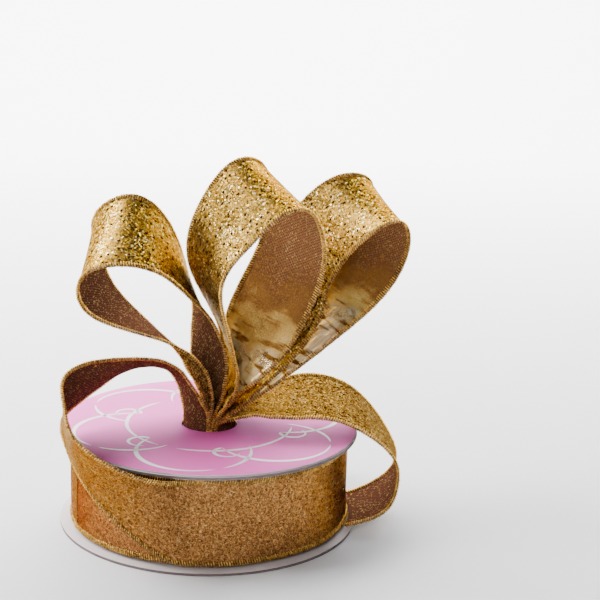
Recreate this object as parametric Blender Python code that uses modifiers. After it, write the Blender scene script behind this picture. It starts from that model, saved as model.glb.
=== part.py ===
"""Ribbon spool with a looped bow: two card flanges on a card core, a roll of wired gold ribbon, and the
ribbon's last metre led over the top flange, gathered in the core and folded into three standing loops.

Metres, +Z up. The spool's axis is parallel to Z, the bottom flange stands on z = 0, and the front is -Y.
The origin is the middle of the whole object's base, so the axis stands a little to one side of it.
"""

import math

import bmesh
import bpy
import numpy as np

MM = 0.001

# Card spool
FLANGE_RADIUS = 67 * MM
FLANGE_THICKNESS = 1.4 * MM
FLANGE_EDGE_ROUND = 0.3 * MM
CORE_BORE_RADIUS = 12.5 * MM
CORE_WALL = 3.5 * MM
TOP_FLANGE_Z = 42.4 * MM
LABEL_THICKNESS = 0.4 * MM
LABEL_RADIUS = 66.6 * MM
GAP = 0.3 * MM

# Ribbon: 38.1 mm wide with a wire in each edge
RIBBON_WIDTH = 38.1 * MM
CLOTH_THICKNESS = 0.35 * MM
EDGE_WIRE_RADIUS = 0.5 * MM
EDGE_WIRE_GAP = 0.7 * MM
ROLL_RADIUS = 62.3 * MM
ROLL_BOTTOM = 2.8 * MM
WRAP_RADIUS = 63.1 * MM
WRAP_START_ANGLE = math.radians(-97)
WRAP_SWEEP = math.radians(312)

# Neck of the bow: eight layers of ribbon stand side by side just above the top flange
NECK_Z = 49 * MM
NECK_WIDTH = 26 * MM
NECK_LEFT = -7.5 * MM
NECK_RIGHT = 14.5 * MM
GATHER_LENGTH = 22 * MM

# Below the neck the layers are pressed into one bundle, which is pushed down the core
ROOT_BOTTOM = 24 * MM
ROOT_RADIUS = 12.1 * MM
ROOT_SIDES = 24

ROUND_STEPS = 72
STRIP_STEPS = 44

COLOURS = {
    "card": (0.68, 0.62, 0.61),
    "core": (0.42, 0.30, 0.20),
    "pink": (0.78, 0.31, 0.66),
    "gold_cloth": (0.52, 0.29, 0.09),
    "roll_cloth": (0.42, 0.20, 0.07),
    "edge_wire": (0.72, 0.45, 0.12),
}

# Each route is a few stations of the ribbon's middle line, in millimetres from the spool's axis:
# x, y, z, and the direction across the ribbon from its near edge to its far edge. A run that is
# gathered in the bow starts or ends in the neck.
LEFT_LOOP = (
    (1, 0, 49, 0, 26, 0),
    (0, 0, 64, -15, 35, -3),
    (-1, 1, 79, -17, 33, -1),
    (-4, 0, 96, -10, 37, 1),
    (-10, -4, 112, -4, 36, 10),
    (-20, -10, 127, 0, 33, 20),
    (-35, -16, 136, 0, 28, 27),
    (-52, -12, 129, 1, 33, 19),
    (-53, -4, 112, 7, 34, 15),
    (-44, 0, 98, 1, 37, 8),
    (-26, 1, 87, -3, 38, -4),
    (-14, 2, 78, -8, 37, -8),
    (-7, 1, 69, -10, 36, -8),
    (-2, 0, 58, -8, 35, -5),
    (-2, 0, 49, 0, 26, 0),
)
MIDDLE_LOOP = (
    (4, 0, 49, 0, 26, 0),
    (5, -1, 61, -6, 36, 4),
    (8, -5, 81, -7, 36, 10),
    (-3, -16, 114, -14, 35, 7),
    (5, -20, 141, -21, 27, 16),
    (20, -18, 156, -21, 25, 20),
    (34, -5, 150, -21, 29, 14),
    (35, 7, 121, -29, 23, 9),
    (22, 3, 90, -29, 23, 11),
    (10, 1, 65, -9, 36, 1),
    (6, 0, 49, 0, 26, 0),
)
RIGHT_LOOP = (
    (8, 0, 49, 0, 26, 0),
    (13, 2, 61, -8, 36, 2),
    (31, 8, 93, -28, 23, 10),
    (38, 15, 112, -27, 22, 14),
    (47, 19, 127, -20, 24, 22),
    (60, 16, 141, -12, 26, 26),
    (77, 18, 145, -9, 35, 13),
    (77, 21, 129, -22, 30, 8),
    (59, 13, 107, -29, 20, 15),
    (35, 5, 84, -22, 29, 9),
    (16, 1, 59, -6, 37, -2),
    (11, 0, 49, 0, 26, 0),
)
LEFT_ARC = (
    (-9, -63.3, 22, 0, 0, -38),
    (-18, -65.5, 24, -3, 9, -37),
    (-35, -63, 33, -10, 24, -29),
    (-54, -55, 46, -3, 28, -25),
    (-60, -45, 56, -2, 25, -29),
    (-62, -36, 64, -4, 23, -30),
    (-56, -26, 69, -11, 22, -29),
    (-41, -14, 72, -16, 27, -22),
    (-24, -4, 71, -17, 32, -10),
    (-10, -1, 59, -5, 37, 1),
    (-6, 0, 49, 0, 26, 0),
)
TAIL = (
    (13, 0, 49, 0, 26, 0),
    (18, 0, 53, 2, 38, 0),
    (39, -1, 58, 1, 37, 9),
    (63, -3, 55, 4, 38, 6),
    (81, -3, 39, 1, 38, 1),
    (86, -3, 23, 4, 38, 0),
    (80, -2, 11, 1, 38, 1),
    (66, -2, 4, 1, 38, 0),
)


def clear_scene():
    for obj in list(bpy.data.objects):
        bpy.data.objects.remove(obj, do_unlink=True)


def new_collection(name):
    collection = bpy.data.collections.new(name)
    bpy.context.scene.collection.children.link(collection)
    return collection


def material(name, roughness, metallic):
    finish = bpy.data.materials.new(name)
    finish.use_nodes = True
    shader = finish.node_tree.nodes["Principled BSDF"]
    shader.inputs["Base Color"].default_value = (*COLOURS[name], 1)
    shader.inputs["Roughness"].default_value = roughness
    shader.inputs["Metallic"].default_value = metallic
    return finish


def place(obj, finish):
    """Hands the object to the parts' collection, under the spool's axis, in its own finish."""
    for collection in list(obj.users_collection):
        collection.objects.unlink(obj)
    parts.objects.link(obj)
    obj.parent = axis
    obj.data.materials.append(finish)
    return obj


def smooth(obj, sharp_degrees=35):
    obj.data.shade_smooth()
    obj.data.set_sharp_from_angle(angle=math.radians(sharp_degrees))


def turned_ring(name, outline, finish):
    """A ring turned about Z from an outline of (radius, z) points, which runs down its outer side."""
    mesh = bpy.data.meshes.new(name)
    points = [(radius, 0, z) for radius, z in outline]
    edges = [(i, (i + 1) % len(points)) for i in range(len(points))]
    mesh.from_pydata(points, edges, [])
    obj = bpy.data.objects.new(name, mesh)
    place(obj, finish)
    turn = obj.modifiers.new("Turn", "SCREW")
    turn.steps = ROUND_STEPS
    turn.render_steps = ROUND_STEPS
    turn.use_merge_vertices = True
    turn.merge_threshold = 0.00001
    turn.use_smooth_shade = True
    return obj


def washer(name, inner, outer, bottom, top, finish, edge_round=0):
    """A flat ring, with its two outer edges broken by edge_round."""
    outline = [(inner, top), (outer - edge_round, top)]
    if edge_round:
        outline += [(outer, top - edge_round), (outer, bottom + edge_round)]
    outline += [(outer - edge_round, bottom), (inner, bottom)]
    return turned_ring(name, outline, finish)


def spline(stations, steps):
    """Points at even steps on the natural cubic curve through the stations."""
    known = np.array(stations, float)
    count = len(known)
    matrix = np.eye(count)
    right = np.zeros_like(known)
    for i in range(1, count - 1):
        matrix[i, i - 1 : i + 2] = (1, 4, 1)
        right[i] = 6 * (known[i - 1] - 2 * known[i] + known[i + 1])
    bend = np.linalg.solve(matrix, right)
    place_along = np.linspace(0, count - 1, steps)
    first = np.minimum(place_along.astype(int), count - 2)
    after = (place_along - first)[:, None]
    before = 1 - after
    straight = before * known[first] + after * known[first + 1]
    curved = (before**3 - before) * bend[first] + (after**3 - after) * bend[first + 1]
    return straight + curved / 6


def ribbon_lines(stations, steps):
    """The ribbon's middle points, its unit directions across, and its half width at each."""
    run = spline(stations, steps)
    middle = run[:, :3] * MM
    across = run[:, 3:] / np.linalg.norm(run[:, 3:], axis=1)[:, None]
    from_neck = np.full(steps, GATHER_LENGTH)
    for end in (middle[0], middle[-1]):
        if math.isclose(end[2], NECK_Z):
            from_neck = np.minimum(from_neck, np.linalg.norm(middle - end, axis=1))
    spread = np.sin(from_neck / GATHER_LENGTH * math.pi / 2)
    half_width = (NECK_WIDTH + (RIBBON_WIDTH - NECK_WIDTH) * spread) / 2
    return middle, across, half_width[:, None]


def cloth(name, stations, finish):
    """The woven web between the two edge wires: a grid laid along the route and given its thickness."""
    middle, across, half_width = ribbon_lines(stations, STRIP_STEPS + 1)
    reach = half_width - 2 * EDGE_WIRE_RADIUS - EDGE_WIRE_GAP
    sides = (middle - across * reach, middle + across * reach)
    bpy.ops.mesh.primitive_grid_add(x_subdivisions=STRIP_STEPS, y_subdivisions=1, size=1)
    obj = bpy.context.object
    obj.name = name
    for vertex in obj.data.vertices:
        step = round((vertex.co.x + 0.5) * STRIP_STEPS)
        vertex.co = sides[vertex.co.y > 0][step]
    place(obj, finish)
    wall = obj.modifiers.new("Cloth", "SOLIDIFY")
    wall.thickness = CLOTH_THICKNESS
    wall.offset = 0
    wall.use_even_offset = False
    smooth(obj)
    return obj


def edge_wire(name, points, finish, cyclic=False):
    """A covered wire along a row of points."""
    line = bpy.data.curves.new(name, "CURVE")
    line.dimensions = "3D"
    line.bevel_depth = EDGE_WIRE_RADIUS
    line.bevel_resolution = 1
    line.use_fill_caps = True
    run = line.splines.new("POLY")
    run.points.add(len(points) - 1)
    for point, co in zip(run.points, points):
        point.co = (*co, 1)
    run.use_cyclic_u = cyclic
    run.use_smooth = True
    return place(bpy.data.objects.new(name, line), finish)


def ribbon(name, stations):
    """One run of ribbon: its cloth and the wires in its near and far edges."""
    cloth(name + "_cloth", stations, gold_cloth)
    middle, across, half_width = ribbon_lines(stations, STRIP_STEPS + 1)
    reach = half_width - EDGE_WIRE_RADIUS
    edge_wire(name + "_near_wire", middle - across * reach, gold_wire)
    edge_wire(name + "_far_wire", middle + across * reach, gold_wire)


def outer_wrap():
    """The last turn on the roll, which ends where the left arc lifts off it."""
    middle_z = ROLL_BOTTOM + RIBBON_WIDTH / 2
    reach = RIBBON_WIDTH / 2 - 2 * EDGE_WIRE_RADIUS - EDGE_WIRE_GAP
    bpy.ops.mesh.primitive_grid_add(x_subdivisions=ROUND_STEPS, y_subdivisions=1, size=1)
    obj = bpy.context.object
    obj.name = "outer_wrap_cloth"
    for vertex in obj.data.vertices:
        angle = WRAP_START_ANGLE + (vertex.co.x + 0.5) * WRAP_SWEEP
        height = middle_z + math.copysign(reach, vertex.co.y)
        vertex.co = (WRAP_RADIUS * math.cos(angle), WRAP_RADIUS * math.sin(angle), height)
    place(obj, roll_cloth)
    wall = obj.modifiers.new("Cloth", "SOLIDIFY")
    wall.thickness = CLOTH_THICKNESS
    wall.offset = 0
    smooth(obj)
    for side, name in ((-1, "outer_wrap_lower_wire"), (1, "outer_wrap_upper_wire")):
        height = middle_z + side * (RIBBON_WIDTH / 2 - EDGE_WIRE_RADIUS)
        angles = np.linspace(WRAP_START_ANGLE, WRAP_START_ANGLE + WRAP_SWEEP, ROUND_STEPS)
        points = [(WRAP_RADIUS * math.cos(a), WRAP_RADIUS * math.sin(a), height) for a in angles]
        edge_wire(name, points, gold_wire)


def bow_root():
    """The ribbon's folded layers under the bow: a bundle in the core, which spreads to the neck above it."""
    neck_half_x = (NECK_RIGHT - NECK_LEFT) / 2
    neck_middle_x = (NECK_RIGHT + NECK_LEFT) / 2
    label_top = TOP_FLANGE_Z + FLANGE_THICKNESS + GAP + LABEL_THICKNESS
    neck_top = NECK_Z - EDGE_WIRE_RADIUS - GAP
    rings = (
        (ROOT_BOTTOM, 0, ROOT_RADIUS, ROOT_RADIUS),
        (label_top, 0, ROOT_RADIUS, ROOT_RADIUS),
        (neck_top, neck_middle_x, neck_half_x, NECK_WIDTH / 2),
    )
    shape = bmesh.new()
    bmesh.ops.create_cone(shape, cap_ends=True, segments=ROOT_SIDES, radius1=1, radius2=1, depth=2)
    everything = shape.verts[:] + shape.edges[:] + shape.faces[:]
    bmesh.ops.bisect_plane(shape, geom=everything, plane_co=(0, 0, 0), plane_no=(0, 0, 1))
    for vertex in shape.verts:
        height, centre_x, half_x, half_y = rings[round(vertex.co.z) + 1]
        vertex.co = (centre_x + half_x * vertex.co.x, half_y * vertex.co.y, height)
    mesh = bpy.data.meshes.new("bow_root")
    shape.to_mesh(mesh)
    shape.free()
    smooth(place(bpy.data.objects.new("bow_root", mesh), roll_cloth))


def stand_on_base_centre():
    """Moves the axis sideways so that the origin is the middle of the whole object's box."""
    bpy.context.view_layer.update()
    graph = bpy.context.evaluated_depsgraph_get()
    corners = []
    for obj in parts.objects:
        evaluated = obj.evaluated_get(graph)
        mesh = evaluated.to_mesh()
        points = np.empty(len(mesh.vertices) * 3, np.float32)
        mesh.vertices.foreach_get("co", points)
        points = points.reshape(-1, 3)
        corners += [points.min(axis=0), points.max(axis=0)]
        evaluated.to_mesh_clear()
    middle = (np.min(corners, axis=0) + np.max(corners, axis=0)) / 2
    axis.location = (round(-middle[0], 4), round(-middle[1], 4), 0)


clear_scene()
parts = new_collection("ribbon_spool")
axis = bpy.data.objects.new("spool_axis", None)
bpy.context.scene.collection.objects.link(axis)

card = material("card", 0.8, 0)
core_card = material("core", 0.85, 0)
pink = material("pink", 0.5, 0)
gold_cloth = material("gold_cloth", 0.35, 0.8)
roll_cloth = material("roll_cloth", 0.4, 0.7)
gold_wire = material("edge_wire", 0.3, 0.9)

washer("bottom_flange", CORE_BORE_RADIUS, FLANGE_RADIUS, 0, FLANGE_THICKNESS, card, FLANGE_EDGE_ROUND)
top_of_flange = TOP_FLANGE_Z + FLANGE_THICKNESS
washer("top_flange", CORE_BORE_RADIUS, FLANGE_RADIUS, TOP_FLANGE_Z, top_of_flange, card, FLANGE_EDGE_ROUND)
label_bottom = top_of_flange + GAP
washer("top_label", CORE_BORE_RADIUS, LABEL_RADIUS, label_bottom, label_bottom + LABEL_THICKNESS, pink)
core_outer = CORE_BORE_RADIUS + CORE_WALL
washer("core_tube", CORE_BORE_RADIUS, core_outer, FLANGE_THICKNESS + GAP, TOP_FLANGE_Z - GAP, core_card)
washer("ribbon_roll", core_outer + GAP, ROLL_RADIUS, ROLL_BOTTOM, ROLL_BOTTOM + RIBBON_WIDTH, roll_cloth)
outer_wrap()
bow_root()

ribbon("left_arc", LEFT_ARC)
ribbon("left_loop", LEFT_LOOP)
ribbon("middle_loop", MIDDLE_LOOP)
ribbon("right_loop", RIGHT_LOOP)
ribbon("tail", TAIL)
stand_on_base_centre()
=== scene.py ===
"""Looks of a ribbon spool with a looped bow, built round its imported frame.

Metres, +Z up, front at -Y. The sections follow the spool as it is put together: the two card flanges and
their core, the printed label, the wound ribbon with its wired edges, and the bow. The studio comes last.
"""

import math
import random

import bmesh
import bpy
import numpy as np
from mathutils import Matrix, Vector


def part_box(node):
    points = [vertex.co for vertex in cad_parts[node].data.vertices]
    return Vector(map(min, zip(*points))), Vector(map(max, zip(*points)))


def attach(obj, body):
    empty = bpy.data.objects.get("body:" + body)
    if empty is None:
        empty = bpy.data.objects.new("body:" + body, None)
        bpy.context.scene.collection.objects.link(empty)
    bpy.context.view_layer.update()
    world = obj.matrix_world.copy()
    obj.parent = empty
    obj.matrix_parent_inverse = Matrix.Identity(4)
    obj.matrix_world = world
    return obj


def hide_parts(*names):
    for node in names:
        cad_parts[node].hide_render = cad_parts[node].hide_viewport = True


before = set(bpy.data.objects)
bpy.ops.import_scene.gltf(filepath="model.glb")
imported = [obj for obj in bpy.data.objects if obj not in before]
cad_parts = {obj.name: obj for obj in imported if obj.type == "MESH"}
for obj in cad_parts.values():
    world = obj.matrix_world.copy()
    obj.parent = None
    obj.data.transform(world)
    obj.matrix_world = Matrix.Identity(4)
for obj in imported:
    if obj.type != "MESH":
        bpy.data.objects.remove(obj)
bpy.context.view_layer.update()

MM = 0.001

# ---------------------------------------------------------------------------------------------------
# Bottom flange. A disc die-cut from white-lined grey card, with the core's hole in its middle and a dark
# edge: the board's grey, darkened as painted shade. It is glued to the core and is what the spool stands on.

core_low, core_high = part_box("core_tube")
AXIS_X = (core_low.x + core_high.x) / 2
AXIS_Y = (core_low.y + core_high.y) / 2
DISC_SIDES = 240
DISC_RINGS = 6
CORE_WALL = 3.5 * MM
CARD_ROUND = 0.22 * MM


def only(obj):
    """Makes this the one selected and active object."""
    bpy.ops.object.select_all(action="DESELECT")
    obj.select_set(True)
    bpy.context.view_layer.objects.active = obj


def apply_modifiers(obj):
    only(obj)
    for modifier in list(obj.modifiers):
        bpy.ops.object.modifier_apply(modifier=modifier.name)


def settle(obj):
    """Leaves the finished piece's place in its mesh, with its object at the origin."""
    only(obj)
    bpy.ops.object.transform_apply(location=True, rotation=True, scale=True)


def card_disc(name, bore, radius, bottom, top, edge_round):
    """A flat disc with a hole, drawn out ring by ring from the hole's edge."""
    bpy.ops.object.select_all(action="DESELECT")
    centre = (AXIS_X, AXIS_Y, bottom)
    bpy.ops.mesh.primitive_circle_add(vertices=DISC_SIDES, radius=bore, location=centre)
    disc = bpy.context.object
    disc.name = name
    bpy.ops.object.mode_set(mode="EDIT")
    reach = bore
    for ring in range(1, DISC_RINGS + 1):
        wanted = bore + (radius - bore) * ring / DISC_RINGS
        bpy.ops.mesh.extrude_edges_move()
        bpy.ops.transform.resize(value=(wanted / reach, wanted / reach, 1))
        reach = wanted
    bpy.ops.mesh.select_all(action="SELECT")
    bpy.ops.mesh.normals_make_consistent(inside=False)
    bpy.ops.object.mode_set(mode="OBJECT")
    if disc.data.polygons[0].normal.z < 0:
        disc.data.flip_normals()
    card = disc.modifiers.new("Card", "SOLIDIFY")
    card.thickness = top - bottom
    card.offset = 1
    rim = disc.modifiers.new("Rim", "BEVEL")
    rim.width = edge_round
    rim.segments = 3
    rim.limit_method = "ANGLE"
    apply_modifiers(disc)
    disc.data.shade_smooth()
    bpy.ops.object.shade_smooth_by_angle(angle=math.radians(40))
    settle(disc)
    return disc


def ring_size(node):
    """The outer radius, bottom and top of a CAD ring round the spool's axis."""
    low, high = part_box(node)
    return (high.x - low.x) / 2, low.z, high.z


def add(tree, kind, inputs=None, **settings):
    """Adds a node, with its settings, its input values and the sockets linked to it."""
    made = tree.nodes.new(kind)
    for name, value in settings.items():
        setattr(made, name, value)
    for socket, value in (inputs or {}).items():
        if isinstance(value, bpy.types.NodeSocket):
            tree.links.new(value, made.inputs[socket])
        else:
            made.inputs[socket].default_value = value
    return made


def maths(tree, operation, *values):
    return add(tree, "ShaderNodeMath", dict(enumerate(values)), operation=operation).outputs[0]


def blend(tree, factor, first, second):
    """A colour between the first and the second."""
    mixed = add(tree, "ShaderNodeMix", {0: factor, 6: first, 7: second}, data_type="RGBA")
    return mixed.outputs[2]


def new_group(name, inputs, outputs):
    """A shader node group whose sockets are given as name: (type, value). It returns tree, inputs, result."""
    tree = bpy.data.node_groups.new(name, "ShaderNodeTree")
    for socket, (kind, value) in inputs.items():
        made = tree.interface.new_socket(socket, in_out="INPUT", socket_type="NodeSocket" + kind)
        if value is not None:
            made.default_value = value
    for socket, kind in outputs.items():
        tree.interface.new_socket(socket, in_out="OUTPUT", socket_type="NodeSocket" + kind)
    return tree, tree.nodes.new("NodeGroupInput").outputs, tree.nodes.new("NodeGroupOutput").inputs


def new_material(name, **values):
    """A material and its tree, with plain values set on the shader's own sockets."""
    made = bpy.data.materials.new(name)
    made.use_nodes = True
    tree = made.node_tree
    shader = tree.nodes["Principled BSDF"]
    for socket, value in values.items():
        shader.inputs[socket.replace("_", " ")].default_value = value
    return made, tree, shader


def finish_with(tree, shader, group, inputs, outputs, bump=None):
    """Places a group in a material and links its outputs to the shader's sockets of the same names."""
    placed = add(tree, "ShaderNodeGroup", node_tree=group)
    for socket, value in inputs.items():
        if isinstance(value, bpy.types.NodeSocket):
            tree.links.new(value, placed.inputs[socket])
        else:
            placed.inputs[socket].default_value = value
    for socket in outputs:
        tree.links.new(placed.outputs[socket], shader.inputs[socket])
    if bump:
        strength, distance = bump
        raised = add(tree, "ShaderNodeBump", {"Height": placed.outputs["Height"]})
        raised.inputs["Strength"].default_value = strength
        raised.inputs["Distance"].default_value = distance
        if "Normal" in placed.outputs:
            tree.links.new(placed.outputs["Normal"], raised.inputs["Normal"])
        tree.links.new(raised.outputs["Normal"], shader.inputs["Normal"])
    return placed


def paper_fibre_group():
    """Pressed paper: fine fibres, soft mottling and a few darker flecks."""
    inputs = {"Colour": ("Color", (1, 1, 1, 1)), "Shade": ("Color", (0, 0, 0, 1)), "Flecks": ("Float", 0.3)}
    outputs = {"Base Color": "Color", "Roughness": "Float", "Height": "Float"}
    tree, given, result = new_group("Paper fibre", inputs, outputs)
    place = add(tree, "ShaderNodeTexCoord").outputs["Object"]
    fibre = add(tree, "ShaderNodeTexNoise", {"Vector": place, "Scale": 2600, "Detail": 3}).outputs[0]
    mottle = add(tree, "ShaderNodeTexNoise", {"Vector": place, "Scale": 60, "Detail": 4}).outputs[0]
    fleck = add(tree, "ShaderNodeTexVoronoi", {"Vector": place, "Scale": 420}).outputs["Distance"]
    near = maths(tree, "LESS_THAN", fleck, 0.11)
    amount = maths(tree, "MULTIPLY", near, given["Flecks"])
    soft = maths(tree, "MULTIPLY", mottle, 0.22)
    grain = maths(tree, "MULTIPLY_ADD", fibre, 0.16, soft)
    tint = blend(tree, grain, given["Colour"], given["Shade"])
    tree.links.new(blend(tree, amount, tint, given["Shade"]), result["Base Color"])
    tree.links.new(maths(tree, "MULTIPLY_ADD", fibre, 0.2, 0.66), result["Roughness"])
    tree.links.new(fibre, result["Height"])
    return tree


paper_fibre = paper_fibre_group()
flange_card, tree, shader = new_material("Off-white card", Specular_IOR_Level=0.35)
card_inputs = {"Colour": (0.70, 0.63, 0.62, 1), "Shade": (0.50, 0.41, 0.43, 1), "Flecks": 0.25}
finish_with(tree, shader, paper_fibre, card_inputs, ("Base Color", "Roughness"), bump=(0.25, 0.05 * MM))

# The board edge's dark grey is partly the board's own colour and partly painted shade for the gap under a
# flange's rim.
board_edge_painted_shade, tree, shader = new_material("Grey board edge with painted shade", Specular_IOR_Level=0.2)
board_inputs = {"Colour": (0.17, 0.13, 0.13, 1), "Shade": (0.07, 0.05, 0.05, 1), "Flecks": 0.6}
finish_with(tree, shader, paper_fibre, board_inputs, ("Base Color", "Roughness"), bump=(0.6, 0.1 * MM))


def shade_cut_edges(disc):
    """Gives the disc's cut edges the grey of the board inside, darkened as painted shade for the gap under
    the rim.
    """
    disc.data.materials.append(flange_card)
    disc.data.materials.append(board_edge_painted_shade)
    for face in disc.data.polygons:
        face.material_index = int(abs(face.normal.z) < 0.6)


core_bore_radius = (core_high.x - core_low.x) / 2 - CORE_WALL
radius, bottom, top = ring_size("bottom_flange")
bottom_flange = card_disc("bottom_flange_card", core_bore_radius, radius, bottom, top, CARD_ROUND)
shade_cut_edges(bottom_flange)
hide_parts("bottom_flange")
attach(bottom_flange, "root")

# ---------------------------------------------------------------------------------------------------
# Core. Three plies of brown kraft paper wound in a spiral into a tube, cut to length and glued between
# the flanges. Its seams show only in the bore, from below.

kraft, tree, shader = new_material("Kraft paper tube", Specular_IOR_Level=0.3)
SEAM_PITCH = 19 * MM
place = add(tree, "ShaderNodeTexCoord").outputs["Object"]
centred = add(tree, "ShaderNodeMapping", {"Vector": place, "Location": (-AXIS_X, -AXIS_Y, 0)})
split = add(tree, "ShaderNodeSeparateXYZ", {0: centred.outputs[0]})
turn = maths(tree, "ARCTAN2", split.outputs[1], split.outputs[0])
climb = maths(tree, "DIVIDE", split.outputs[2], SEAM_PITCH)
winding = maths(tree, "FRACT", maths(tree, "MULTIPLY_ADD", turn, 1 / (2 * math.pi), climb))
seam = maths(tree, "LESS_THAN", winding, 0.035)
kraft_inputs = {"Colour": (0.40, 0.26, 0.15, 1), "Shade": (0.20, 0.12, 0.07, 1), "Flecks": 0.6}
placed = finish_with(tree, shader, paper_fibre, kraft_inputs, ("Roughness",), bump=(0.4, 0.08 * MM))
seamed = blend(tree, seam, placed.outputs["Base Color"], (0.14, 0.08, 0.05, 1))
tree.links.new(seamed, shader.inputs["Base Color"])
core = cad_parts["core_tube"]
core.data.materials.clear()
core.data.materials.append(kraft)

# ---------------------------------------------------------------------------------------------------
# Top flange and its label. The flange is the same card as the bottom one. The label is a disc of satin
# pink paper pasted over it, whose white cut edge shows as a thin line round the rim.

radius, bottom, top = ring_size("top_flange")
top_flange = card_disc("top_flange_card", core_bore_radius, radius, bottom, top, CARD_ROUND)
shade_cut_edges(top_flange)
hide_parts("top_flange")
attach(top_flange, "root")

pink_paper, tree, shader = new_material("Pink printed paper", Specular_IOR_Level=0.06)
pink_inputs = {"Colour": (0.78, 0.13, 0.47, 1), "Shade": (0.58, 0.08, 0.33, 1), "Flecks": 0.05}
finish_with(tree, shader, paper_fibre, pink_inputs, ("Base Color",), bump=(0.12, 0.03 * MM))
shader.inputs["Roughness"].default_value = 0.6

radius, label_bottom, label_top = ring_size("top_label")
top_label = card_disc("top_label_paper", core_bore_radius, radius, label_bottom, label_top, 0.08 * MM)
top_label.data.materials.append(pink_paper)
top_label.data.materials.append(flange_card)
for face in top_label.data.polygons:
    face.material_index = int(abs(face.normal.z) < 0.9)
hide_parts("top_label")
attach(top_label, "root")

# ---------------------------------------------------------------------------------------------------
# Printed scroll. Off-white ink laid on the label in pen strokes that swell and taper: one broken ring
# round the hole, and six wider rings that lean on one another, each with a short curl at its end.

INK_THICKNESS = 0.02 * MM
INK_WIDTH = 2.1 * MM
RINGS = 6
STROKE_STEPS = 56

ink, tree, shader = new_material("Off-white ink", Roughness=0.42, Specular_IOR_Level=0.1)
ink_inputs = {"Colour": (0.90, 0.86, 0.84, 1), "Shade": (0.78, 0.70, 0.70, 1), "Flecks": 0.1}
finish_with(tree, shader, paper_fibre, ink_inputs, ("Base Color",), bump=(0.1, 0.02 * MM))


def pen_stroke(shape, points, thinnest, thickest, swell_at):
    """A flat stroke along the points, which is widest at swell_at and tapers to both its ends."""
    count = len(points)
    sides = []
    for i, (x, y) in enumerate(points):
        before, after = points[max(i - 1, 0)], points[min(i + 1, count - 1)]
        along = Vector((after[0] - before[0], after[1] - before[1], 0)).normalized()
        place_on = i / (count - 1)
        away = abs(place_on - swell_at) / max(swell_at, 1 - swell_at)
        taper = min(1, 14 * place_on, 14 * (1 - place_on))
        half = (thinnest + (thickest - thinnest) * math.cos(away * math.pi / 2) ** 2) * taper / 2
        half = max(half, 0.05 * MM)
        out = Vector((-along.y, along.x, 0)) * half
        middle = Vector((AXIS_X + x, AXIS_Y + y, label_top + INK_THICKNESS / 2))
        sides.append((shape.verts.new(middle + out), shape.verts.new(middle - out)))
    for (a, b), (c, d) in zip(sides, sides[1:]):
        shape.faces.new((a, b, d, c))


def arc_points(centre, radius, start, sweep):
    """Points on an arc round a centre in the label's plane, with angles in degrees."""
    angles = np.radians(np.linspace(start, start + sweep, STROKE_STEPS))
    return [(centre[0] + radius * math.cos(a), centre[1] + radius * math.sin(a)) for a in angles]


shape = bmesh.new()
inner_ring = 0.56 * radius  # the wider rings are centred on this one
for part in range(3):
    pen_stroke(shape, arc_points((0, 0), inner_ring, 120 * part + 8, 106), 0.9 * MM, INK_WIDTH * 0.8, 0.4)
for ring in range(RINGS):
    turn = 360 / RINGS * ring + 20
    out = math.radians(turn)
    centre = (inner_ring * math.cos(out), inner_ring * math.sin(out))
    wide = 0.37 * radius
    pen_stroke(shape, arc_points(centre, wide, turn - 118, 150), 0.9 * MM, INK_WIDTH, 0.45)
    pen_stroke(shape, arc_points(centre, wide, turn + 40, 74), 0.7 * MM, INK_WIDTH * 0.8, 0.5)
    stroke_end = out - 2.06
    curl = (centre[0] + wide * math.cos(stroke_end), centre[1] + wide * math.sin(stroke_end))
    small = 0.085 * radius
    curl_centre = (curl[0] + small * math.cos(out - 0.5), curl[1] + small * math.sin(out - 0.5))
    pen_stroke(shape, arc_points(curl_centre, small, turn + 150, 235), 0.7 * MM, INK_WIDTH * 0.8, 0.3)
mesh = bpy.data.meshes.new("label_print")
shape.to_mesh(mesh)
shape.free()
label_print = bpy.data.objects.new("label_print", mesh)
bpy.context.scene.collection.objects.link(label_print)
for face in label_print.data.polygons:
    if face.normal.z < 0:
        face.flip()
pressed = label_print.modifiers.new("Ink", "SOLIDIFY")
pressed.thickness = INK_THICKNESS
pressed.offset = 0
apply_modifiers(label_print)
label_print.data.materials.append(ink)
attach(label_print, "root")

# ---------------------------------------------------------------------------------------------------
# Roll. About twelve metres of gold lame ribbon, 38.1 mm wide, wound round the core in some forty-eight
# turns. The face looks out. Its edges lie just short of the flanges.

RIBBON_WIDTH = 38.1 * MM
EDGE_BAND = 0.9 * MM
ROLL_MIDDLE = 21.9 * MM
TURN_PITCH = 0.95 * MM
ROLL_INSIDE = 17 * MM
ROLL_OUTSIDE = 62.2 * MM
TURN_STEPS = 96


def cells(tree, vector, scale, randomness=1.0):
    """A Voronoi pattern's distance and colour outputs."""
    made = add(tree, "ShaderNodeTexVoronoi", {"Vector": vector, "Scale": scale, "Randomness": randomness})
    return made.outputs["Distance"], made.outputs["Color"]


def tilted(tree, colour, amount):
    """The surface's normal, turned a little another way in each cell of a random colour."""
    centred = add(tree, "ShaderNodeVectorMath", {0: colour, 1: (0.5, 0.5, 0.5)}, operation="SUBTRACT")
    leaning = add(tree, "ShaderNodeVectorMath", {0: centred.outputs[0], "Scale": amount}, operation="SCALE")
    straight = add(tree, "ShaderNodeNewGeometry").outputs["Normal"]
    both = add(tree, "ShaderNodeVectorMath", {0: leaning.outputs[0], 1: straight}, operation="ADD")
    return add(tree, "ShaderNodeVectorMath", {0: both.outputs[0]}, operation="NORMALIZE").outputs[0]


def spread(tree, value, lowest, highest, first=0, last=1):
    """The value stretched and held so that lowest to highest becomes first to last."""
    given = {0: value, 1: lowest, 2: highest, 3: first, 4: last}
    return add(tree, "ShaderNodeMapRange", given).outputs[0]


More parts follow.
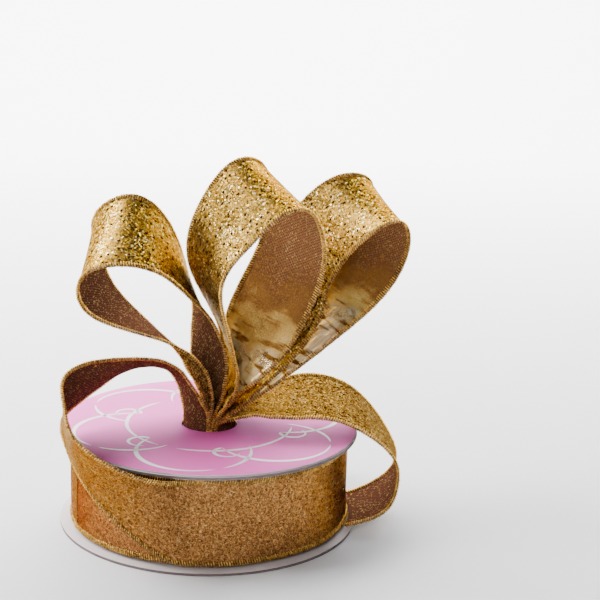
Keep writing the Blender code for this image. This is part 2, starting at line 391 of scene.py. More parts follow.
def glitter_group():
    """Lame's face: small bright flakes at all angles over a brown ground, with loose rows of pin dots."""
    inputs = {"Tilt": ("Float", 1.0), "Low": ("Color", (0.07, 0.024, 0.003, 1)),
              "Mid": ("Color", (0.47, 0.27, 0.042, 1)), "High": ("Color", (1, 0.82, 0.30, 1)),
              "Dots": ("Float", 1.0)}
    outputs = {"Base Color": "Color", "Roughness": "Float", "Metallic": "Float", "Normal": "Vector",
               "Height": "Float"}
    tree, given, result = new_group("Glitter cloth", inputs, outputs)
    cloth_place = add(tree, "ShaderNodeTexCoord").outputs["UV"]
    gathered = add(tree, "ShaderNodeAttribute", attribute_name="gathered").outputs["Fac"]
    wound = add(tree, "ShaderNodeAttribute", attribute_name="wound").outputs["Fac"]
    smooth = maths(tree, "MULTIPLY", gathered, 0.8)
    _, flake = cells(tree, cloth_place, 2100)
    _, speck = cells(tree, cloth_place, 1300)
    split = add(tree, "ShaderNodeSeparateColor", {0: flake})
    bright = split.outputs[0]
    low_mid = blend(tree, spread(tree, bright, 0, 0.6, 0.3, 1), given["Low"], given["Mid"])
    all_three = blend(tree, spread(tree, bright, 0.8, 1), low_mid, given["High"])
    # Painted glints and shade: a few large cells turn pale gold as painted glints, and a few others turn near
    # black as painted shade.
    large = add(tree, "ShaderNodeSeparateColor", {0: speck})
    painted_glint = maths(tree, "GREATER_THAN", large.outputs[0], 0.96)
    all_three = blend(tree, painted_glint, all_three, (1, 0.84, 0.42, 1))
    painted_shade_speck = maths(tree, "MULTIPLY", maths(tree, "LESS_THAN", large.outputs[0], 0.16), 0.75)
    all_three = blend(tree, painted_shade_speck, all_three, (0.03, 0.012, 0.002, 1))
    soft = add(tree, "ShaderNodeTexNoise", {"Vector": cloth_place, "Scale": 130, "Detail": 3}).outputs[0]
    shaded = blend(tree, spread(tree, soft, 0.35, 0.75, 0, 0.4), all_three, given["Low"])
    rows = add(tree, "ShaderNodeMapping", {"Vector": cloth_place, "Scale": (1, 0.85, 1)}).outputs[0]
    pins = add(tree, "ShaderNodeTexVoronoi", {"Vector": rows, "Scale": 285, "Randomness": 0.8},
               voronoi_dimensions="2D")
    dot = spread(tree, pins.outputs["Distance"], 0.14, 0.19, 1, 0)
    chosen = add(tree, "ShaderNodeSeparateColor", {0: pins.outputs["Color"]}).outputs[0]
    dot = maths(tree, "MULTIPLY", dot, maths(tree, "GREATER_THAN", chosen, 0.5))
    dot = maths(tree, "MULTIPLY", dot, maths(tree, "MULTIPLY_ADD", wound, -0.7, given["Dots"]))
    foiled = blend(tree, maths(tree, "MULTIPLY", smooth, 0.75), shaded, given["Mid"])
    # Where the ribbon is wound on the roll, the face fades to darker copper flakes with fewer dots: painted
    # dim reflection of its upright side.
    painted_dim_flakes = blend(tree, bright, (0.08, 0.029, 0.008, 1), (0.42, 0.18, 0.058, 1))
    painted_dim_face = blend(tree, wound, foiled, painted_dim_flakes)
    # Painted shade: where dusk is set, the face darkens to brown with few flakes, loses its shine and grows
    # rougher.
    dusk = add(tree, "ShaderNodeAttribute", attribute_name="dusk").outputs["Fac"]
    few = maths(tree, "GREATER_THAN", split.outputs[1], 0.84)
    few_flakes = blend(tree, few, (0.045, 0.019, 0.006, 1), (0.5, 0.3, 0.07, 1))
    painted_dim_face = blend(tree, dusk, painted_dim_face, few_flakes)
    tree.links.new(blend(tree, dot, painted_dim_face, (0.03, 0.01, 0.004, 1)), result["Base Color"])
    spark = large.outputs[1]
    rough = maths(tree, "MULTIPLY_ADD", spark, 0.25, maths(tree, "MULTIPLY_ADD", smooth, -0.1, 0.22))
    rough = maths(tree, "MULTIPLY_ADD", dot, 0.5, rough)
    tree.links.new(maths(tree, "MULTIPLY_ADD", dusk, 0.3, rough), result["Roughness"])
    metal = maths(tree, "MULTIPLY_ADD", dot, -0.9, maths(tree, "MULTIPLY_ADD", dusk, -1.0, 0.92))
    tree.links.new(metal, result["Metallic"])
    loose = spread(tree, split.outputs[1], 0.5, 0.95, 0.3, 1.1)
    calmer = maths(tree, "MULTIPLY", loose, maths(tree, "MULTIPLY_ADD", smooth, -0.75, 1.0))
    calmer = maths(tree, "MULTIPLY", given["Tilt"], calmer)
    tree.links.new(tilted(tree, flake, calmer), result["Normal"])
    lines = {"Vector": cloth_place, "Scale": 640}
    weft = add(tree, "ShaderNodeTexWave", lines, bands_direction="Y").outputs[1]
    slanted = {"Vector": cloth_place, "Rotation": (0, 0, 0.5), "Scale": (1, 0.3, 1)}
    stretched = add(tree, "ShaderNodeMapping", slanted).outputs[0]
    crumple = add(tree, "ShaderNodeTexNoise", {"Vector": stretched, "Scale": 300, "Detail": 3}).outputs[0]
    deep = maths(tree, "MULTIPLY", crumple, maths(tree, "MULTIPLY", smooth, 22.0))
    tree.links.new(maths(tree, "ADD", deep, weft), result["Height"])
    return tree


def net_group():
    """Lame's back: a fine slanting net over dull cloth, which turns to bare crinkled foil at the gathers,
    with painted highlights and painted fold shade.
    """
    inputs = {"Cord": ("Color", (0.23, 0.11, 0.047, 1)), "Hole": ("Color", (0.09, 0.037, 0.016, 1)),
              "Foil": ("Color", (1.0, 0.72, 0.21, 1)), "Brown": ("Color", (0.25, 0.12, 0.025, 1))}
    outputs = {"Base Color": "Color", "Roughness": "Float", "Metallic": "Float", "Normal": "Vector",
               "Height": "Float"}
    tree, given, result = new_group("Net back", inputs, outputs)
    cloth_place = add(tree, "ShaderNodeTexCoord").outputs["UV"]
    crossing = []
    for lean in (1, -1):
        turned = add(tree, "ShaderNodeMapping", {"Vector": cloth_place, "Rotation": (0, 0, lean * 0.9)})
        lines = add(tree, "ShaderNodeTexWave", {"Vector": turned.outputs[0], "Scale": 262, "Distortion": 0.3})
        crossing.append(lines.outputs[1])
    net = maths(tree, "MAXIMUM", *crossing)
    cord = spread(tree, net, 0.55, 0.95)
    dull = blend(tree, cord, given["Hole"], given["Cord"])
    _, flake = cells(tree, cloth_place, 2100)
    split = add(tree, "ShaderNodeSeparateColor", {0: flake})
    bare = add(tree, "ShaderNodeAttribute", attribute_name="foil").outputs["Fac"]
    patchy = add(tree, "ShaderNodeTexNoise", {"Vector": cloth_place, "Scale": 75, "Detail": 3}).outputs[0]
    patch = maths(tree, "MULTIPLY_ADD", patchy, 0.5, -0.25)
    any_bare = maths(tree, "MINIMUM", maths(tree, "MULTIPLY", bare, 5), 1)
    bare = maths(tree, "MULTIPLY_ADD", patch, any_bare, bare)
    glint = maths(tree, "MULTIPLY", maths(tree, "GREATER_THAN", split.outputs[0], 0.93), 0.3)
    dull = blend(tree, glint, dull, given["Foil"])
    brown = spread(tree, bare, 0.2, 0.5)
    smooth = spread(tree, bare, 0.6, 1)
    golden = spread(tree, bare, 0.4, 0.65)
    dusky = maths(tree, "GREATER_THAN", split.outputs[1], 0.8)
    dusky = blend(tree, dusky, given["Hole"], given["Brown"])
    speckled = blend(tree, maths(tree, "MULTIPLY", split.outputs[1], 0.7), given["Brown"], given["Hole"])
    browned = blend(tree, golden, blend(tree, brown, dull, dusky), speckled)
    slanted = {"Vector": cloth_place, "Rotation": (0, 0, 0.6), "Scale": (0.22, 1, 1)}
    folds = add(tree, "ShaderNodeMapping", slanted).outputs[0]
    fold = add(tree, "ShaderNodeTexNoise", {"Vector": folds, "Scale": 330, "Detail": 2}).outputs[0]
    # Painted shade: dark streaks laid on the foil along slanting noise, where its folds would lie in shade.
    painted_fold_shade = spread(tree, fold, 0.36, 0.47, 1, 0)
    # Painted highlight: the barest foil turns cream and loses some metallic, so the lamps light it as a pale
    # patch.
    pale = spread(tree, bare, 0.78, 0.98)
    foil_tone = blend(tree, pale, given["Foil"], (1.0, 0.92, 0.64, 1))
    foil_tone = blend(tree, painted_fold_shade, foil_tone, (0.22, 0.10, 0.016, 1))
    tree.links.new(blend(tree, smooth, browned, foil_tone), result["Base Color"])
    tree.links.new(maths(tree, "MULTIPLY_ADD", smooth, -0.46, 0.6), result["Roughness"])
    metal = maths(tree, "MULTIPLY", golden, 0.96)
    tree.links.new(maths(tree, "MULTIPLY_ADD", pale, -0.3, metal), result["Metallic"])
    lean = maths(tree, "MULTIPLY_ADD", smooth, -0.4, 0.45)
    tree.links.new(tilted(tree, flake, lean), result["Normal"])
    stretched = add(tree, "ShaderNodeMapping", {"Vector": cloth_place, "Scale": (1, 0.3, 1)}).outputs[0]
    crumple = add(tree, "ShaderNodeTexNoise", {"Vector": stretched, "Scale": 420, "Detail": 3}).outputs[0]
    deep = maths(tree, "MULTIPLY", crumple, maths(tree, "MULTIPLY", smooth, 9.0))
    tree.links.new(maths(tree, "ADD", deep, maths(tree, "MULTIPLY", cord, 0.3)), result["Height"])
    return tree


glitter, net = glitter_group(), net_group()
shader_parts = ("Base Color", "Roughness", "Metallic")
GOLD_TINT, PAINTED_DIM_TINT, BACK_TINT = (0.36, 0.25, 0.06, 1), (0.3, 0.16, 0.05, 1), (0.7, 0.5, 0.15, 1)
gold_face, tree, shader = new_material("Gold lame face", Specular_Tint=GOLD_TINT, Specular_IOR_Level=0)
finish_with(tree, shader, glitter, {"Tilt": 0.95}, shader_parts, bump=(0.25, 0.04 * MM))
# The roll's face is the gold lame dimmed to copper: painted dim reflection for its upright side.
painted_dim_roll_face, tree, shader = new_material("Lame face dimmed to copper as painted reflection", Specular_Tint=PAINTED_DIM_TINT, Specular_IOR_Level=0)
painted_dim_colours = {"Tilt": 0.8, "Low": (0.06, 0.02, 0.004, 1), "Mid": (0.26, 0.09, 0.016, 1),
          "High": (0.9, 0.48, 0.14, 1)}
finish_with(tree, shader, glitter, painted_dim_colours, shader_parts, bump=(0.3, 0.04 * MM))
net_back, tree, shader = new_material("Lame back", Specular_Tint=BACK_TINT, Specular_IOR_Level=0)
finish_with(tree, shader, net, {}, shader_parts, bump=(0.55, 0.12 * MM))
# The same lame back darkened as painted shade, for the left arc, left loop and tail.
painted_shade_net_back, tree, shader = new_material("Lame back darkened as painted shade", Specular_Tint=BACK_TINT, Specular_IOR_Level=0)
painted_shade_back_colours = {"Cord": (0.125, 0.05, 0.026, 1), "Hole": (0.037, 0.014, 0.009, 1),
           "Brown": (0.13, 0.056, 0.012, 1)}
finish_with(tree, shader, net, painted_shade_back_colours, shader_parts, bump=(0.55, 0.12 * MM))


def strip_mesh(name, rows, uvs, **values_by_name):
    """A sheet from rows of points, with its place on the flat ribbon as its UV map, in metres."""
    count, wide = rows.shape[:2]
    corner = np.arange(count * wide).reshape(count, wide)
    faces = np.stack([corner[:-1, :-1], corner[1:, :-1], corner[1:, 1:], corner[:-1, 1:]], axis=-1)
    mesh = bpy.data.meshes.new(name)
    mesh.from_pydata(rows.reshape(-1, 3).tolist(), [], faces.reshape(-1, 4).tolist())
    layer = mesh.uv_layers.new(name="weave")
    layer.data.foreach_set("uv", uvs.reshape(-1, 2)[faces.reshape(-1)].astype(np.float32).reshape(-1))
    for label, values in values_by_name.items():
        layer = mesh.attributes.new(label, "FLOAT", "POINT")
        layer.data.foreach_set("value", np.repeat(values, wide).astype(np.float32))
    mesh.shade_smooth()
    made = bpy.data.objects.new(name, mesh)
    bpy.context.scene.collection.objects.link(made)
    return made


def flat_places(walked, wide):
    """Each point's place on the flat ribbon: across it and along it."""
    across = np.linspace(0, RIBBON_WIDTH, wide)
    return np.stack(np.meshgrid(across, walked), axis=-1)


def unit(vectors):
    return vectors / np.linalg.norm(vectors, axis=-1, keepdims=True)


turns = (ROLL_OUTSIDE - ROLL_INSIDE) / TURN_PITCH
steps = int(turns * TURN_STEPS)
share = np.linspace(0, 1, steps + 1)
roll_end = math.radians(-157)
angle = roll_end + 2 * math.pi * turns * (1 - share)
reach = ROLL_INSIDE + (ROLL_OUTSIDE - ROLL_INSIDE) * share
reach += 0.12 * MM * np.sin(5 * angle) * share  # the turns lie a little loose
ring = np.stack([AXIS_X + reach * np.cos(angle), AXIS_Y + reach * np.sin(angle)], axis=1)
walked = np.concatenate([[0], np.cumsum(np.linalg.norm(np.diff(ring, axis=0), axis=1))])
heights = np.linspace(RIBBON_WIDTH / 2 - EDGE_BAND, EDGE_BAND - RIBBON_WIDTH / 2, 4) + ROLL_MIDDLE
rows = np.stack([np.column_stack([ring, np.full(len(ring), height)]) for height in heights], axis=1)
roll = strip_mesh("roll_turns", rows, flat_places(walked, 4), foil=0 * walked, wound=0 * walked + 1)
# Painted dim reflection: the roll has the darker copper face all round.
roll.data.materials.append(painted_dim_roll_face)
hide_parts("ribbon_roll")
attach(roll, "root")

# ---------------------------------------------------------------------------------------------------
# Wired edges. A thin wire lies along each edge of the ribbon under a brown thread, and gold thread is
# overlocked round it, about nine stitches to the centimetre. The roll shows them on its outer turns.

CASING_RADIUS = 0.42 * MM
THREAD_RADIUS = 0.29 * MM
STITCH_PITCH = 1.1 * MM
STITCH = np.array([  # share of the pitch, distance in from the cloth's edge and height over it, in mm
    (0.00, -1.02, 0.00), (0.14, -0.45, 0.62), (0.34, 0.50, 0.46), (0.56, 1.30, 0.24),
    (0.62, 1.35, -0.24), (0.78, 0.50, -0.46), (0.90, -0.45, -0.62)])


def thread_group():
    """Twisted thread: a slow change of tone along it, and fine patches of the dark tone at random, painted
    shade for the gaps between stitches.
    """
    inputs = {"Light": ("Color", (1, 1, 1, 1)), "Dark": ("Color", (0, 0, 0, 1))}
    outputs = {"Base Color": "Color", "Roughness": "Float", "Height": "Float"}
    tree, given, result = new_group("Twisted thread", inputs, outputs)
    place = add(tree, "ShaderNodeTexCoord").outputs["Object"]
    tone = add(tree, "ShaderNodeTexNoise", {"Vector": place, "Scale": 900, "Detail": 2}).outputs[0]
    slow = add(tree, "ShaderNodeTexNoise", {"Vector": place, "Scale": 90, "Detail": 2}).outputs[0]
    ply = add(tree, "ShaderNodeTexWave", {"Vector": place, "Scale": 1500, "Distortion": 2}).outputs[1]
    mixed = maths(tree, "MULTIPLY_ADD", tone, 2.4, maths(tree, "MULTIPLY_ADD", slow, 0.9, -1.15))
    tree.links.new(blend(tree, mixed, given["Light"], given["Dark"]), result["Base Color"])
    tree.links.new(maths(tree, "MULTIPLY_ADD", tone, 0.3, 0.2), result["Roughness"])
    tree.links.new(ply, result["Height"])
    return tree


twisted = thread_group()
gold_thread, tree, shader = new_material("Gold thread", Metallic=0.9, Specular_Tint=(0.9, 0.6, 0.2, 1))
bright_gold = {"Light": (1.0, 0.60, 0.14, 1), "Dark": (0.08, 0.03, 0.006, 1)}
finish_with(tree, shader, twisted, bright_gold, ("Base Color", "Roughness"), bump=(0.4, 0.05 * MM))
brown_thread, tree, shader = new_material("Brown thread", Metallic=0.2)
dark_brown = {"Light": (0.16, 0.07, 0.02, 1), "Dark": (0.05, 0.02, 0.008, 1)}
finish_with(tree, shader, twisted, dark_brown, ("Base Color", "Roughness"), bump=(0.4, 0.05 * MM))


def tube_faces(first, count, sides):
    """The quads round a tube of count rings whose points start at first, with a fan at each end."""
    ring = np.arange(count * sides).reshape(count, sides) + first
    beside = np.roll(ring, -1, axis=1)
    quads = np.stack([ring[:-1], beside[:-1], beside[1:], ring[1:]], axis=-1).reshape(-1, 4).tolist()
    return quads + [ring[0][::-1].tolist(), ring[-1].tolist()]


def tube_points(path, beside, radius, sides):
    """Rings of points round a path. beside is a direction that is never along the path."""
    along = unit(np.gradient(path, axis=0))
    first = unit(np.cross(along, beside))
    second = np.cross(along, first)
    turn = np.arange(sides) * 2 * math.pi / sides
    offsets = np.cos(turn)[:, None] * first[:, None] + np.sin(turn)[:, None] * second[:, None]
    return path[:, None] + radius * offsets


def wired_edges(name, edges, nodes):
    """The casing and the stitches along each edge. An edge is its line, inward and upward directions."""
    points, faces, dark = [], [], []
    for line, inward, upward in edges:
        walked = np.concatenate([[0], np.cumsum(np.linalg.norm(np.diff(line, axis=0), axis=1))])
        parts = [(line - inward * 0.45 * MM, upward, CASING_RADIUS, 6, True)]
        stitches = max(int(walked[-1] / STITCH_PITCH), 2)
        share = (np.arange(stitches)[:, None] + STITCH[:, 0]).reshape(-1) / stitches
        uneven = np.random.default_rng(stitches).uniform(-1, 1, (2, stitches))
        at = share * walked[-1]
        here, side, up = (np.stack([np.interp(at, walked, given[:, k]) for k in range(3)], axis=1)
                          for given in (line, inward, upward))
        reach = np.outer(1 + 0.2 * uneven[0], STITCH[:, 1]).reshape(-1, 1) * MM
        height = np.outer(1 + 0.12 * uneven[1], STITCH[:, 2]).reshape(-1, 1) * MM
        ahead = unit(np.cross(side, up))
        parts.append((here + side * reach + up * height, ahead, THREAD_RADIUS, 5, False))
        for path, beside, radius, sides, is_dark in parts:
            made = tube_points(path, beside, radius, sides)
            found = tube_faces(sum(len(p) for p in points), len(path), sides)
            points.append(made.reshape(-1, 3))
            faces += found
            dark += [is_dark] * len(found)
    mesh = bpy.data.meshes.new(name)
    mesh.from_pydata(np.concatenate(points).tolist(), [], faces)
    mesh.materials.append(gold_thread)
    mesh.materials.append(brown_thread)
    mesh.polygons.foreach_set("material_index", np.array(dark, np.int32))
    mesh.shade_smooth()
    made = bpy.data.objects.new(name, mesh)
    bpy.context.scene.collection.objects.link(made)
    only(made)
    bpy.ops.object.mode_set(mode="EDIT")
    bpy.ops.mesh.select_all(action="SELECT")
    bpy.ops.mesh.normals_make_consistent(inside=False)
    bpy.ops.object.mode_set(mode="OBJECT")
    if nodes:
        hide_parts(*nodes)
    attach(made, "root")
    return made


OUTER_TURNS = 2
shown = slice(len(rows) - OUTER_TURNS * TURN_STEPS, None)
outward = np.stack([np.cos(angle), np.sin(angle), 0 * angle], axis=1)[shown]
down = np.tile((0.0, 0.0, -1.0), (len(outward), 1))
both_edges = [(rows[shown, 0], down, outward), (rows[shown, -1], -down, outward)]
roll_edges = wired_edges("roll_edges", both_edges, [])

# ---------------------------------------------------------------------------------------------------
# Last turn and left arc. One run of ribbon: it goes round the roll once more, leaves it at the front,
# climbs outside the top flange's left rim and arches over the label into the middle of the bow.

CLOTH_THICKNESS = 0.25 * MM
ROW_SPACING = 0.9 * MM
ACROSS_STEPS = 25
FAR_FROM_CORE = 1.0
CREASE, BUCKLE, LEAN, WRINKLE = 0.5 * MM, 0.35 * MM, 0.5 * MM, 0.42 * MM
GATHER = np.array([  # how far a place is along the ribbon from its tucked end, and the width there, in mm
    (0, 20), (14, 21), (17, 22.5), (20, 24.5), (23, 27), (29, 31.5), (36, 35.5), (43, 37.6), (50, 38.1)])


def spline(stations, steps):
    """Even steps along the natural cubic curve through the stations."""
    known = np.array(stations, float)
    count = len(known)
    matrix, right = np.eye(count), np.zeros_like(known)
    for i in range(1, count - 1):
        matrix[i, i - 1 : i + 2] = (1, 4, 1)
        right[i] = 6 * (known[i - 1] - 2 * known[i] + known[i + 1])
    bend = np.linalg.solve(matrix, right)
    place_along = np.linspace(0, count - 1, steps)
    first = np.minimum(place_along.astype(int), count - 2)
    after = (place_along - first)[:, None]
    before = 1 - after
    straight = before * known[first] + after * known[first + 1]
    return straight + ((before**3 - before) * bend[first] + (after**3 - after) * bend[first + 1]) / 6


def run_lines(stations):
    """Evenly spaced middle points and across directions of a run, and the length walked at each."""
    dense = spline(stations, 80 * len(stations))
    gaps = np.linalg.norm(np.diff(dense[:, :3], axis=0), axis=1)
    walked = np.concatenate([[0], np.cumsum(gaps)]) * MM
    wanted = np.linspace(0, walked[-1], int(walked[-1] / ROW_SPACING) + 1)
    even = np.stack([np.interp(wanted, walked, dense[:, k]) for k in range(6)], axis=1)
    middle = even[:, :3] * MM + (AXIS_X, AXIS_Y, 0)
    return middle, unit(even[:, 3:]), wanted


def ribbon_run(name, stations, nodes, tucked, face_sign, seed, back, bare, press=None, painted_dim_length=0,
               dusk=(0, 0)):
    """One run of ribbon with its wired edges.

    tucked says whether its start and its end are in the core, and face_sign which side of it is the gold
    face. bare gives, in mm from the core, where the foil starts to show on the back, how gradually, and how
    much of it shows at most. press bends the finished rows. Over the length given after press, in mm, the
    face takes most of the roll's painted dim, coppery reflection, which fades out over the last 120 mm of it.
    dusk gives how far from the core the face is in painted shade, and how deep that is.
    """
    middle, across, walked = run_lines(stations)
    to_core = np.full(len(walked), FAR_FROM_CORE)
    if tucked[0]:
        to_core = np.minimum(to_core, walked)
    if tucked[1]:
        to_core = np.minimum(to_core, walked[-1] - walked)
    half = np.interp(to_core, GATHER[:, 0] * MM, GATHER[:, 1] * MM / 2) - EDGE_BAND
    open_share = np.clip((to_core / MM - 14) / 32, 0, 1)
    along = unit(np.gradient(middle, axis=0))
    upward = unit(np.cross(along, across)) * face_sign
    luck = random.Random(seed)
    phase, second_phase = luck.uniform(0, 6), luck.uniform(0, 6)

    # The cloth's own shape: lengthwise creases at the gather, edges that buckle between the wires' bends,
    # a slow lean, and the wrinkles pressed into it where it was pinched.
    t = np.linspace(-1, 1, ACROSS_STEPS)
    gone = walked[:, None]
    crease_height = CREASE * np.exp(-np.maximum(to_core - 12 * MM, 0) / (15 * MM))
    creases = np.sin(t[None] * 9 + phase) * crease_height[:, None]
    buckle = np.sin(gone / (7.5 * MM) + second_phase) * (t**2) * BUCKLE * open_share[:, None]
    slow = np.sin(gone / (19 * MM) + phase) * (0.8 * t**3 + 0.2) * LEAN * open_share[:, None]
    pinched = np.clip((78 * MM - to_core) / (40 * MM), 0, 1)[:, None]
    wrinkles = np.sin(t * 17 + gone / (2.6 * MM) + phase) * np.sin(t * 6 - gone / (7 * MM))
    lift = creases + buckle + slow + wrinkles * pinched * WRINKLE
    flat_rows = middle[:, None] + across[:, None] * (t * half[:, None])[..., None]
    rows = flat_rows + upward[:, None] * lift[..., None]
    if press:
        rows = press(rows, walked)

    order = slice(None, None, face_sign)
    starts, fades, most = bare
    shaded_to, deepest = dusk
    made = strip_mesh(name, rows[:, order], flat_places(walked, ACROSS_STEPS)[:, order],
                      foil=np.clip((starts - to_core / MM) / fades, 0, 1) * most,
                      gathered=np.clip((60 - to_core / MM) / 24, 0, 0.8) * (deepest < 0.9),
                      dusk=np.clip((shaded_to - to_core / MM) / 20, 0, deepest),
                      wound=np.clip((painted_dim_length - walked / MM) / 120, 0, 1) * 0.85)
    made.data.materials.append(gold_face)
    made.data.materials.append(back)
    layers = made.modifiers.new("Cloth", "SOLIDIFY")
    layers.thickness = CLOTH_THICKNESS
    layers.offset = -1
    layers.material_offset = 1
    layers.material_offset_rim = 1
    apply_modifiers(made)
    centre = upward * (-CLOTH_THICKNESS / 2)
    edges = [(rows[:, 0] + centre, across, upward), (rows[:, -1] + centre, -across, upward)]
    wire_nodes = [node for node in nodes if node.endswith("wire")]
    wires = wired_edges(name.replace("_ribbon", "_edges"), edges, wire_nodes)
    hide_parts(*[node for node in nodes if node not in wire_nodes])
    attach(made, "root")


def in_core(slot, up=True):
    """The stations of a run in the core, from the bottom up: slot counts the runs from left to right."""
    off_middle = slot - 3.5
    low = (1.9 * off_middle, 0, 27, 0, 22, 0)
    near, far = 1.8 + 0.85 * off_middle, 1.2 + 1.7 * off_middle
    back = -0.4 if slot % 2 else 0.3
    rim = ((near + far) / 2, back, 42.5, far - near, 23, 0)
    neck = ((near + far) / 2 + 0.3, back, 48.5, far - near, 26, 0)
    return [low, rim, neck] if up else [neck, rim, low]


FOOT_REACH = 11.55 * MM


def line_the_hole(rows, first_angle, last_angle, start_height, full_height):
    """Bends a run's foot round the hole's wall: not at all at start_height, and fully at full_height."""
    height = rows[..., 2]
    share = np.clip((start_height * MM - height) / ((start_height - full_height) * MM), 0, 1)
    share = (share**2 * (3 - 2 * share))[..., None]
    angles = np.radians(np.linspace(first_angle, last_angle, rows.shape[1]))
    wall = np.stack([AXIS_X + FOOT_REACH * np.cos(angles), AXIS_Y + FOOT_REACH * np.sin(angles)], axis=1)
    bent = rows.copy()
    bent[..., :2] += share * (wall[None] - rows[..., :2])
    return bent


# A station is x, y, z of a middle point, in mm from the spool's axis and the table, and of the way across.
LAST_TURN_START, LAST_TURN_END, LAST_TURN_STEP = 203, -98, 12
LAST_TURN_INSIDE, LAST_TURN_GROWTH = 62.25, 1.05
last_turn = []
last_turn_angles = range(LAST_TURN_START, LAST_TURN_END, -LAST_TURN_STEP)
for count, degrees in enumerate(last_turn_angles):
    reach = LAST_TURN_INSIDE + LAST_TURN_GROWTH * count / (len(last_turn_angles) - 1)
    place_round = math.radians(degrees)
    last_turn.append((reach * math.cos(place_round), reach * math.sin(place_round), 22, 0, 0, -38))
LEFT_ARC = [
    (-18, -65.5, 24, -3, 9, -37), (-35, -63, 33, -10, 24, -29), (-54, -55, 46, -3, 28, -25),
    (-60, -45, 56, -2, 25, -29), (-62, -36, 64, -4, 23, -30), (-56, -26, 69, -11, 22, -29),
    (-41, -14, 72, -16, 27, -22), (-24, -4, 72, -17, 32, -10), (-11, -1, 63, -12, 33, -1),
    (-6.2, -2.2, 49.5, -12, 21, 0), (-4.4, -1.5, 43, -10, 19, 0), (-5, -1, 27, -5, 22, 0)]


def place_left_foot(rows, walked):
    """Bends the left arc's foot round the left side of the hole."""
    foot = (walked > walked[-1] - 45 * MM)[:, None, None]
    return np.where(foot, line_the_hole(rows, -93, -195, 61, 46), rows)


ribbon_run("left_arc_ribbon", last_turn + LEFT_ARC,
           ["outer_wrap_cloth", "outer_wrap_lower_wire", "outer_wrap_upper_wire",
            "left_arc_cloth", "left_arc_near_wire", "left_arc_far_wire"],
           (False, True), 1, 11, painted_shade_net_back, (60, 50, 0.15), place_left_foot, painted_dim_length=470)

# ---------------------------------------------------------------------------------------------------
# Bow. The same ribbon, folded into three standing loops and a tail. Each run is gathered at its foot
# and pushed down the core, and the wires in its edges hold it up.

LEFT_LOOP = [
    (0, 0, 64, -15, 35, -3), (-1, 1, 79, -17, 33, -1), (-4, 0, 96, -10, 37, 1), (-10, -4, 112, -4, 36, 10),
    (-20, -10, 127, 0, 33, 20), (-35, -16, 136, 0, 28, 27), (-52, -12, 129, 1, 33, 19),
    (-53, -4, 112, 7, 34, 15), (-44, 0, 98, 1, 37, 8), (-26, 1, 87, -3, 38, -4), (-14, 2, 78, -8, 37, -8),
    (-7, 1, 69, -10, 36, -8), (-2, 0, 58, -8, 35, -5)]
MIDDLE_LOOP = [
    (5, -1, 61, -6, 36, 4), (8, -5, 81, -7, 36, 10), (-3, -16, 114, -14, 35, 7), (5, -20, 141, -21, 27, 16),
    (20, -18, 156, -21, 25, 20), (34, -5, 150, -21, 29, 14), (35, 7, 121, -29, 23, 9),
    (22, 3, 90, -29, 23, 11), (10, 1, 65, -9, 36, 1)]
RIGHT_LOOP = [
    (13, 2, 61, -8, 36, 2), (31, 8, 93, -28, 23, 10), (38, 15, 112, -27, 22, 14), (47, 19, 127, -20, 24, 22),
    (60, 16, 141, -12, 26, 26), (77, 18, 145, -9, 35, 13), (77, 21, 129, -22, 30, 8),
    (59, 13, 107, -29, 20, 15), (35, 5, 84, -22, 29, 9), (16, 1, 59, -6, 37, -2)]
TAIL = [
    (10, -0.3, 50, 1, 29, 0), (19, 0, 53.5, 2, 38, 0), (39, -1, 58, 1, 37, 9), (63, -3, 55, 4, 38, 6),
    (81, -3, 39, 1, 38, 1), (86, -3, 23, 4, 38, 0), (80, -2, 11, 1, 38, 1), (66, -2, 4, 1, 38, 0)]
TAIL_FOOT = [(5, 0, 27, 0, 22, 0), (4.9, -0.3, 42.5, 0, 23, 0), (5.8, -0.3, 47, 0.5, 26, 0)]
PRESSED_LENGTH = 11 * MM
ROLL_TOUCH = 64.6 * MM


def place_tail(rows, walked):
    """Bends the tail's foot round the hole, and its end against the round side of the roll."""
    share = np.clip((walked - walked[-1] + PRESSED_LENGTH) / PRESSED_LENGTH, 0, 1)[:, None]
    y = rows[..., 1] - AXIS_Y
    side = AXIS_X + np.sqrt(ROLL_TOUCH**2 - y**2)
    pressed = rows.copy()
    pressed[..., 0] += share**2 * (side - rows[-1, ..., 0])
    footed = line_the_hole(rows, -83, 15, 51.5, 46)
    return np.where((walked < 40 * MM)[:, None, None], footed, pressed)


def node_names(run):
    return [run + "_cloth", run + "_near_wire", run + "_far_wire"]


# dusk paints shade on the left loop's face within about 72 mm of the core, and on the tail's face all along.
ribbon_run("left_loop_ribbon", in_core(2) + LEFT_LOOP + in_core(1, up=False), node_names("left_loop"),
           (True, True), -1, 23, painted_shade_net_back, (75, 50, 0.5), dusk=(72, 0.92))
ribbon_run("middle_loop_ribbon", in_core(3) + MIDDLE_LOOP + in_core(4, up=False),
           node_names("middle_loop") + ["bow_root"], (True, True), 1, 37, net_back, (126, 80, 1))
ribbon_run("right_loop_ribbon", in_core(5) + RIGHT_LOOP + in_core(6, up=False), node_names("right_loop"),
           (True, True), 1, 41, net_back, (150, 68, 1))
ribbon_run("tail_ribbon", TAIL_FOOT + TAIL, node_names("tail"), (True, False), 1, 53, painted_shade_net_back,
           (60, 50, 0.5), place_tail, dusk=(900, 0.68))

# ---------------------------------------------------------------------------------------------------
# Studio. A pale sweep for a floor and backdrop with a light of its own, soft lights from over the left,
# from the front and from low on the left, and the camera in front of the spool, looking a little down.

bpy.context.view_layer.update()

white_sweep, tree, shader = new_material("White paper sweep", Specular_IOR_Level=0.2)
sweep_inputs = {"Colour": (0.86, 0.86, 0.87, 1), "Shade": (0.80, 0.80, 0.815, 1), "Flecks": 0.0}
finish_with(tree, shader, paper_fibre, sweep_inputs, ("Base Color", "Roughness"))

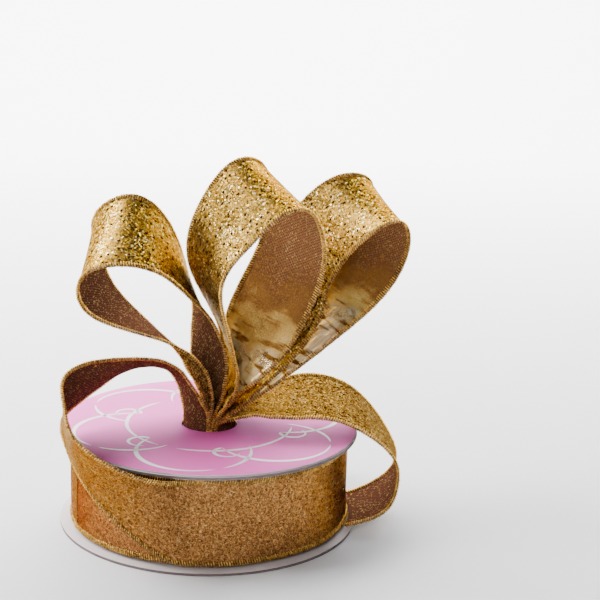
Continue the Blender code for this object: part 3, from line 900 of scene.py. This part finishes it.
SWEEP_REACH, SWEEP_TURN_AT, SWEEP_ROUND, SWEEP_HEIGHT = 9, 1.2, 0.6, 3.0
bend = [(SWEEP_TURN_AT + SWEEP_ROUND * math.sin(a), SWEEP_ROUND - SWEEP_ROUND * math.cos(a))
        for a in np.linspace(0.1, math.pi / 2, 14)]
profile = [(-SWEEP_REACH, 0.0), (SWEEP_TURN_AT, 0.0), *bend, (SWEEP_TURN_AT + SWEEP_ROUND, SWEEP_HEIGHT)]
sweep_points = [(x, y, z) for y, z in profile for x in (-SWEEP_REACH, SWEEP_REACH)]
sweep_faces = [(2 * i, 2 * i + 1, 2 * i + 3, 2 * i + 2) for i in range(len(profile) - 1)]
mesh = bpy.data.meshes.new("paper_sweep")
mesh.from_pydata(sweep_points, [], sweep_faces)
mesh.shade_smooth()
mesh.materials.append(white_sweep)
sweep = bpy.data.objects.new("paper_sweep", mesh)
bpy.context.scene.collection.objects.link(sweep)


def soft_light(name, place, aim, size, watts):
    lamp = bpy.data.lights.new(name, "AREA")
    lamp.shape = "RECTANGLE"
    lamp.size, lamp.size_y = size
    lamp.energy = watts
    made = bpy.data.objects.new(name, lamp)
    made.location = place
    made.rotation_euler = (Vector(aim) - Vector(place)).to_track_quat("-Z", "Y").to_euler()
    bpy.context.scene.collection.objects.link(made)


soft_light("overhead_light", (-0.66, 0.06, 0.88), (0, 0, 0.08), (0.6, 0.4), 17)
soft_light("front_light", (-0.5, -1.3, 0.7), (0, 0, 0.06), (0.9, 0.6), 12)
soft_light("left_light", (-1.0, 0.3, 0.36), (0, 0, 0.08), (0.28, 0.28), 7)
soft_light("backdrop_light", (0, 1.0, 1.9), (0, 1.8, 1.45), (2.5, 0.5), 500)

world = bpy.data.worlds.new("Studio")
bpy.context.scene.world = world
world.use_nodes = True
world.node_tree.nodes["Background"].inputs["Color"].default_value = (0.95, 0.97, 1.0, 1)
world.node_tree.nodes["Background"].inputs["Strength"].default_value = 0.07

CAMERA_DISTANCE, CAMERA_HEIGHT = 0.60765, 0.25078
RIGHT, UP, AHEAD = (0.99786, -0.0564, 0.0330), (-0.0187, 0.2380, 0.9711), (0.0626, 0.9696, -0.2365)
lens = bpy.data.cameras.new("Front camera")
lens.lens = 84.4
lens.sensor_width = 36
camera = bpy.data.objects.new("Front camera", lens)
turned = Matrix((RIGHT, UP, [-value for value in AHEAD])).transposed().to_4x4()
camera.matrix_world = Matrix.Translation((AXIS_X, AXIS_Y - CAMERA_DISTANCE, CAMERA_HEIGHT)) @ turned
bpy.context.scene.collection.objects.link(camera)
bpy.context.scene.camera = camera
